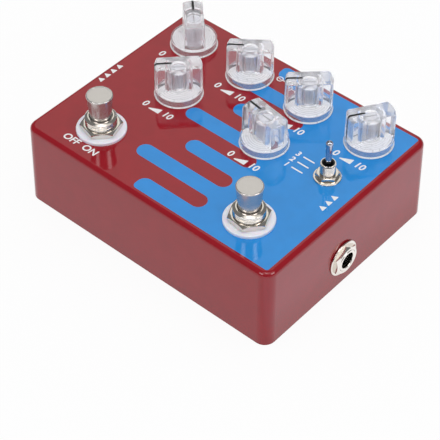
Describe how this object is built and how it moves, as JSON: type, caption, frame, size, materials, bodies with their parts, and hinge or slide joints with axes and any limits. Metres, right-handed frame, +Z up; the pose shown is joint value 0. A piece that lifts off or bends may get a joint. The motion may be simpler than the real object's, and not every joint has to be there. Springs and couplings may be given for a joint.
{
  "type": "effects pedal",
  "caption": "Drive and delay effects pedal: a drafted metal box with clear pointer knobs, two stomp switches on milky rings, a three-way lever and a jack in each end.",
  "frame": {"origin": "middle of the underside, on the surface that the pedal stands on", "axes": "+X to the right along the long front edge, +Y to the back with the power socket, +Z up through the lid"},
  "size_m": [0.1242, 0.094, 0.0535],
  "materials": {
    "painted_box": "glossy red paint; the print is made in the render",
    "plate_paint": "satin red paint",
    "clear_knob": "clear acrylic",
    "pot_shaft": "drawn",
    "pot_body": "moulded",
    "milky": "milky translucent",
    "nickel": "bright nickel",
    "chrome_cap": "satin top, bright flank",
    "black_plastic": "moulded",
    "red_base": "phenolic",
    "tinned": "tinned",
    "board": "solder mask",
    "film": "dipped",
    "lead": "ribbon"
  },
  "bodies": {
    "housing": {"enclosure": "painted_box", "base_plate": "plate_paint", "pot_bodies": "pot_body", "light_rings": "milky", "switch_nuts": "nickel", "switch_frames": "nickel", "switch_bases": "red_base", "switch_lugs": "tinned", "switch_leads": "lead", "lever_case": "nickel", "lever_nut": "nickel", "lever_pins": "tinned", "jack_sleeves": "nickel", "jack_bodies": "black_plastic", "jack_contacts": "tinned", "jack_nuts": "nickel", "jack_leads": "lead", "power_socket": "black_plastic", "main_board": "board", "chips": "black_plastic", "capacitors": "film"},
    "mix_control": {"mix_knob": "clear_knob", "mix_pot_shaft": "pot_shaft"},
    "repeat_control": {"repeat_knob": "clear_knob", "repeat_pot_shaft": "pot_shaft"},
    "drive_control": {"drive_knob": "clear_knob", "drive_pot_shaft": "pot_shaft"},
    "tone_control": {"tone_knob": "clear_knob", "tone_pot_shaft": "pot_shaft"},
    "time_control": {"time_knob": "clear_knob", "time_pot_shaft": "pot_shaft"},
    "level_control": {"level_knob": "clear_knob", "level_pot_shaft": "pot_shaft"},
    "delay_button": {"delay_switch_button": "chrome_cap"},
    "drive_button": {"drive_switch_button": "chrome_cap"},
    "lever_bat": {"lever": "chrome_cap"}
  },
  "joints": [
    {"name": "mix_turn", "type": "hinge", "parent": "housing", "child": "mix_control", "pos_m": [-0.0432, 0.0306, 0.0336], "axis": [0, 0, 1], "range_deg": [-195, 105]},
    {"name": "repeat_turn", "type": "hinge", "parent": "housing", "child": "repeat_control", "pos_m": [-0.0144, 0.0306, 0.0336], "axis": [0, 0, 1], "range_deg": [-277, 23]},
    {"name": "drive_turn", "type": "hinge", "parent": "housing", "child": "drive_control", "pos_m": [0.0144, 0.0306, 0.0336], "axis": [0, 0, 1], "range_deg": [-283, 17]},
    {"name": "tone_turn", "type": "hinge", "parent": "housing", "child": "tone_control", "pos_m": [0.0432, 0.0306, 0.0336], "axis": [0, 0, 1], "range_deg": [-297.5, 2.5]},
    {"name": "time_turn", "type": "hinge", "parent": "housing", "child": "time_control", "pos_m": [-0.028, 0.0049, 0.0336], "axis": [0, 0, 1], "range_deg": [-286, 14]},
    {"name": "level_turn", "type": "hinge", "parent": "housing", "child": "level_control", "pos_m": [0.0144, 0.0049, 0.0336], "axis": [0, 0, 1], "range_deg": [-231, 69]},
    {"name": "delay_press", "type": "slide", "parent": "housing", "child": "delay_button", "axis": [0, 0, -1], "range_m": [0, 0.0025], "stiffness_N_per_m": 1500, "springref_m": -0.001},
    {"name": "drive_press", "type": "slide", "parent": "housing", "child": "drive_button", "axis": [0, 0, -1], "range_m": [0, 0.0025], "stiffness_N_per_m": 1500, "springref_m": -0.001},
    {"name": "lever_tilt", "type": "hinge", "parent": "housing", "child": "lever_bat", "pos_m": [0.0432, 0.006, 0.0395], "axis": [1, 0, 0], "range_deg": [-13, 13]}
  ]
}
